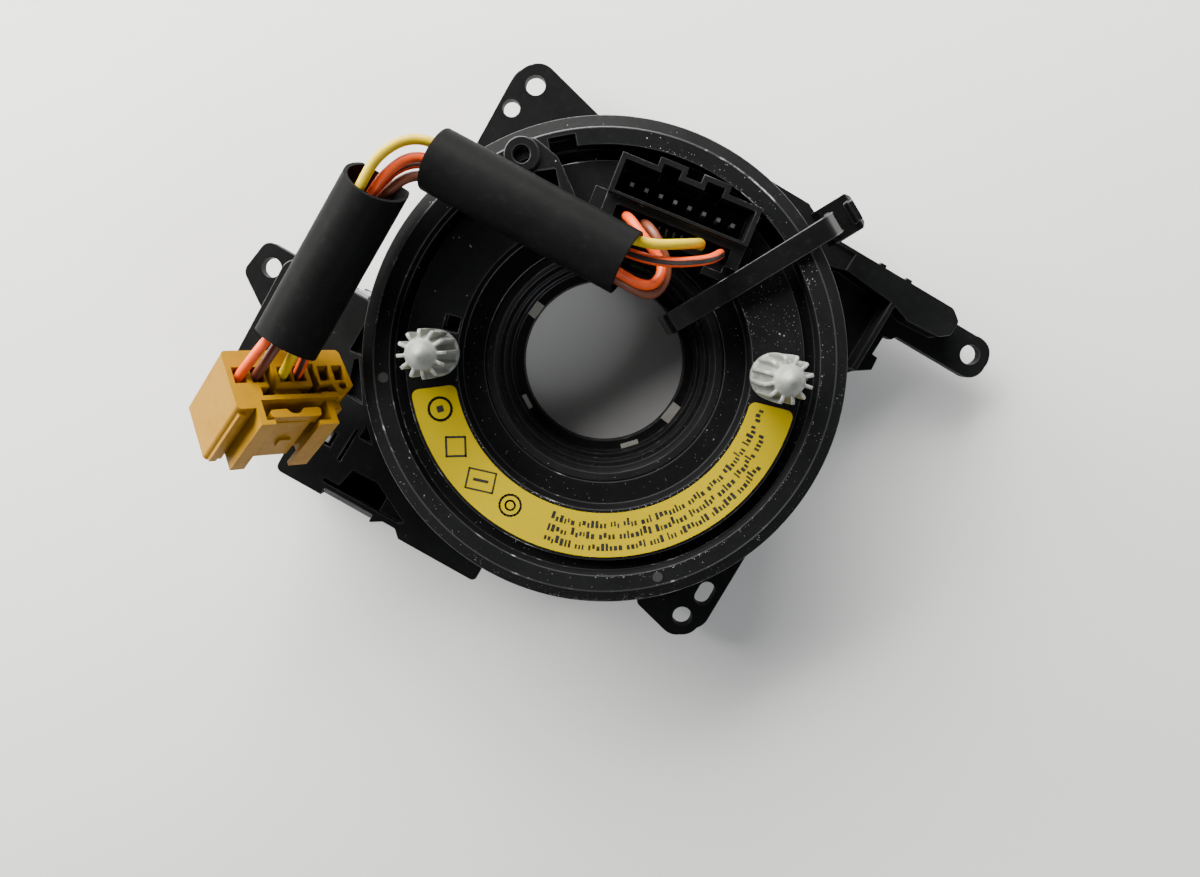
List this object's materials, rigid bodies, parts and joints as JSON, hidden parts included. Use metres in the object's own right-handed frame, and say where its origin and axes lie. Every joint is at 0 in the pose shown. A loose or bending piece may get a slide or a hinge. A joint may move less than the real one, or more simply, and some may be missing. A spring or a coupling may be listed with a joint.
{
  "type": "steering angle sensor with contact unit",
  "caption": "Ring-shaped steering contact unit with angle sensor gears, bracket arms, wheel-side socket and a sleeved lead to an airbag plug.",
  "frame": {"origin": "on the rotor axis, at the foot of the shaft bore, level with the rest face", "axes": "+Z along the rotor axis to the steering wheel side, +X towards the long bracket arm"},
  "size_m": [0.1281, 0.0922, 0.0449],
  "materials": {
    "black_nylon": "moulded, fine texture, worn edges",
    "board": "solder mask",
    "chip": "moulded package",
    "screw_steel": "zinc plated",
    "contact_tin": "tin plated",
    "latch_grey": "moulded",
    "film": "clear film over copper tracks",
    "clip_pale": "moulded",
    "gear_white": "moulded",
    "magnet": "sintered",
    "label_yellow": "printed sticker",
    "pin_grey": "translucent moulding",
    "tie_black": "smooth nylon",
    "wire_orange": "insulation",
    "wire_striped": "insulation with a dark stripe",
    "wire_brown": "insulation",
    "wire_yellow": "insulation",
    "sleeve_black": "soft tube",
    "plug_yellow": "moulded",
    "lock_yellow": "moulded"
  },
  "bodies": {
    "stator": {"stator_housing": "black_nylon", "base_cover": "black_nylon", "base_screws": "screw_steel", "cover_latch": "latch_grey", "circuit_board": "board", "sensor_chips": "chip", "vehicle_socket": "black_nylon", "vehicle_pins": "contact_tin", "ribbon_cable": "film"},
    "rotor": {"rotor_disc": "black_nylon", "rotor_hub": "black_nylon", "bore_clips": "clip_pale", "main_gear": "gear_white", "socket_block": "black_nylon", "socket_pins": "contact_tin", "yellow_label": "label_yellow", "drive_pin_right": "pin_grey", "drive_pin_left": "pin_grey", "cable_tie": "tie_black", "wire_orange": "wire_orange", "wire_striped": "wire_striped", "wire_brown": "wire_brown", "wire_yellow": "wire_yellow", "sleeve_upper": "sleeve_black", "sleeve_lower": "sleeve_black", "airbag_plug": "plug_yellow", "plug_lock": "lock_yellow", "plug_terminals": "contact_tin"},
    "gear_a": {"measuring_gear_a": "gear_white", "magnet_a": "magnet"},
    "gear_b": {"measuring_gear_b": "gear_white", "magnet_b": "magnet"}
  },
  "joints": [
    {"name": "rotor_turn", "type": "hinge", "parent": "stator", "child": "rotor", "pos_m": [0, 0, 0], "axis": [0, 0, 1], "range_deg": [-1170, 1170]},
    {"name": "gear_a_turn", "type": "hinge", "parent": "stator", "child": "gear_a", "pos_m": [-0.02883, -0.01388, 0], "axis": [0, 0, 1], "range_deg": [-2900, 2900]},
    {"name": "gear_b_turn", "type": "hinge", "parent": "stator", "child": "gear_b", "pos_m": [-0.01083, -0.03096, 0], "axis": [0, 0, 1], "range_deg": [-2900, 2900]}
  ],
  "couplings": [
    {"joint": "gear_a_turn", "follows": "rotor_turn", "ratio": -2.3333},
    {"joint": "gear_b_turn", "follows": "rotor_turn", "ratio": -2.1538}
  ]
}
